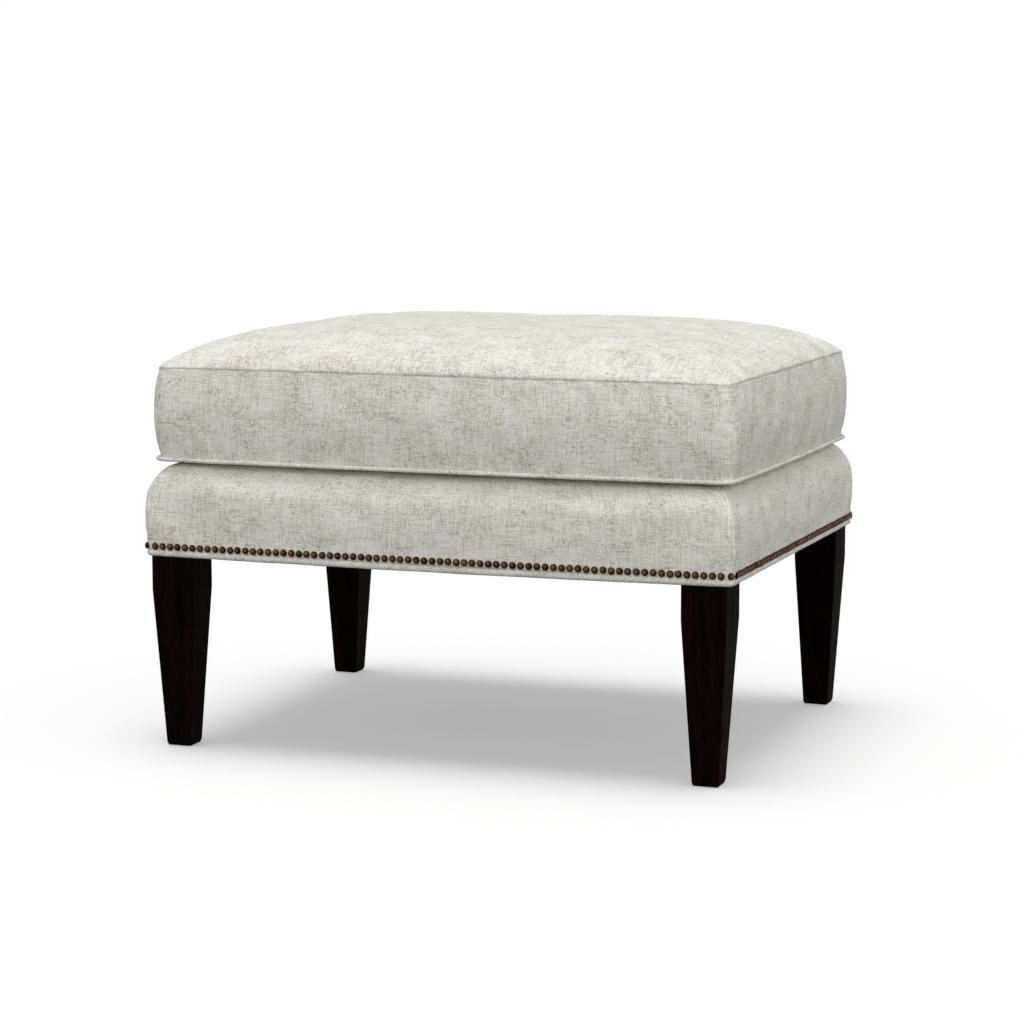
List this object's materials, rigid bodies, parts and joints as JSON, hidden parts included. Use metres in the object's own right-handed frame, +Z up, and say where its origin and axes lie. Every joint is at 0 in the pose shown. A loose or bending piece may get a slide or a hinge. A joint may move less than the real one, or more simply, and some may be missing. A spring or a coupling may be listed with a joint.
{
  "type": "upholstered footstool",
  "caption": "Rectangular upholstered footstool: loose crowned box cushion with zip on a sprung, nail-trimmed base with four square tapered wooden legs.",
  "frame": {"origin": "on the floor under the middle of the stool", "axes": "+X along the long front, to the right seen from the front; +Y to the back; +Z up"},
  "size_m": [0.7114, 0.5572, 0.4875],
  "materials": {
    "cover_fabric": "matte",
    "deck_fabric": "matte",
    "dust_cloth": "matte",
    "wadding": "matte",
    "foam": "matte",
    "felt": "matte",
    "frame_wood": "matte",
    "leg_wood": "satin",
    "spring_steel": "satin",
    "zinc_steel": "satin",
    "nail_brass": "satin",
    "glide_plastic": "matte",
    "zip_plastic": "satin",
    "zip_metal": "satin"
  },
  "bodies": {
    "root": {"band_back": "cover_fabric", "band_front": "cover_fabric", "band_left": "cover_fabric", "band_right": "cover_fabric", "base_welt": "cover_fabric", "border_pad_back": "wadding", "border_pad_front": "wadding", "border_pad_left": "wadding", "border_pad_right": "wadding", "centre_stretcher": "frame_wood", "corner_block_screws": "zinc_steel", "corner_blocks": "frame_wood", "deck_cloth": "deck_fabric", "deck_foam": "foam", "dust_cover": "dust_cloth", "edge_roll_back": "foam", "edge_roll_front": "foam", "edge_roll_left": "foam", "edge_roll_right": "foam", "foot_glides": "glide_plastic", "leg_back_left": "leg_wood", "leg_back_right": "leg_wood", "leg_bolt_nuts": "zinc_steel", "leg_bolt_washers": "zinc_steel", "leg_bolts": "zinc_steel", "leg_front_left": "leg_wood", "leg_front_right": "leg_wood", "nailheads_back": "nail_brass", "nailheads_front": "nail_brass", "nailheads_left": "nail_brass", "nailheads_right": "nail_brass", "rail_back": "frame_wood", "rail_dowels": "frame_wood", "rail_front": "frame_wood", "rail_left": "frame_wood", "rail_right": "frame_wood", "spring_1": "spring_steel", "spring_2": "spring_steel", "spring_3": "spring_steel", "spring_4": "spring_steel", "spring_5": "spring_steel", "spring_clips": "zinc_steel", "spring_insulator": "felt"},
    "cushion": {"cushion_bottom_panel": "cover_fabric", "cushion_boxing": "cover_fabric", "cushion_core": "foam", "cushion_top_panel": "cover_fabric", "cushion_welt": "cover_fabric", "cushion_wrap": "wadding", "cushion_zip_boxing": "cover_fabric", "zip_stops": "zip_metal", "zip_tape": "zip_plastic", "zip_teeth": "zip_plastic"},
    "slider": {"zip_slider": "zip_metal"},
    "pull": {"zip_pull": "zip_metal"}
  },
  "joints": [
    {"name": "cushion_lift", "type": "slide", "parent": "root", "child": "cushion", "axis": [0, 0, 1], "range_m": [0, 0.25]},
    {"name": "slider_travel", "type": "slide", "parent": "cushion", "child": "slider", "axis": [-1, 0, 0], "range_m": [0, 0.5]},
    {"name": "pull_flip", "type": "hinge", "parent": "slider", "child": "pull", "pos_m": [0.2502, 0.2717, 0.3894], "axis": [0, 0, -1], "range_deg": [0, 180]}
  ]
}
